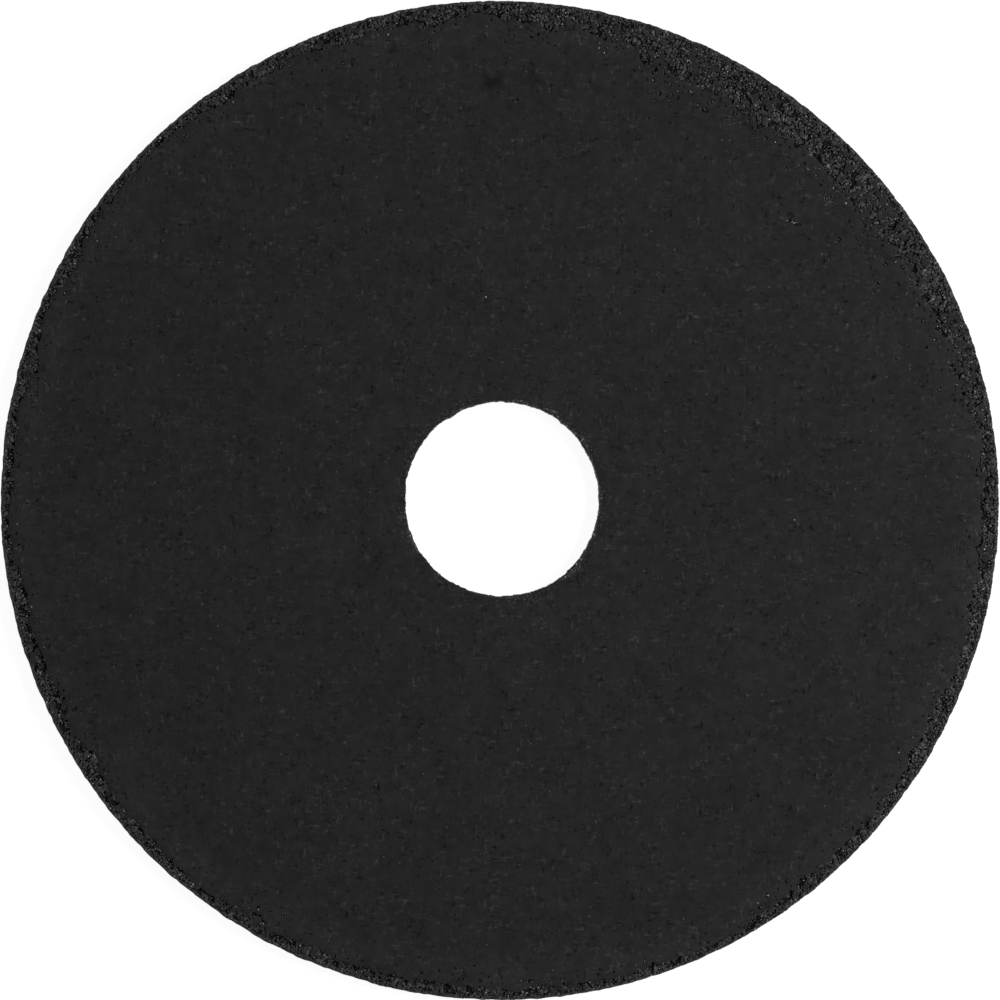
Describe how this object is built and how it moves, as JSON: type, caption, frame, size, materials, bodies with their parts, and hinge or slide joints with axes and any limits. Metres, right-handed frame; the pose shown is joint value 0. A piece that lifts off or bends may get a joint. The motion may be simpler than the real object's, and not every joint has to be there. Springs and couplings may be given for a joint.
{
  "type": "cut-off wheel",
  "caption": "Thin flat round cut-off wheel of dark bonded abrasive with a plain spindle bore, smooth pressed faces and a ragged band of open grain round the cutting rim.",
  "frame": {"origin": "on the bore axis, in the plane of the back face that the wheel lies on", "axes": "+Z along the spindle axis towards the front face, +X to the right and +Y to the top of the picture"},
  "size_m": [0.1142, 0.1142, 0.0016],
  "materials": {
    "bonded_abrasive": "matte"
  },
  "bodies": {
    "root": {"wheel": "bonded_abrasive"}
  },
  "joints": []
}
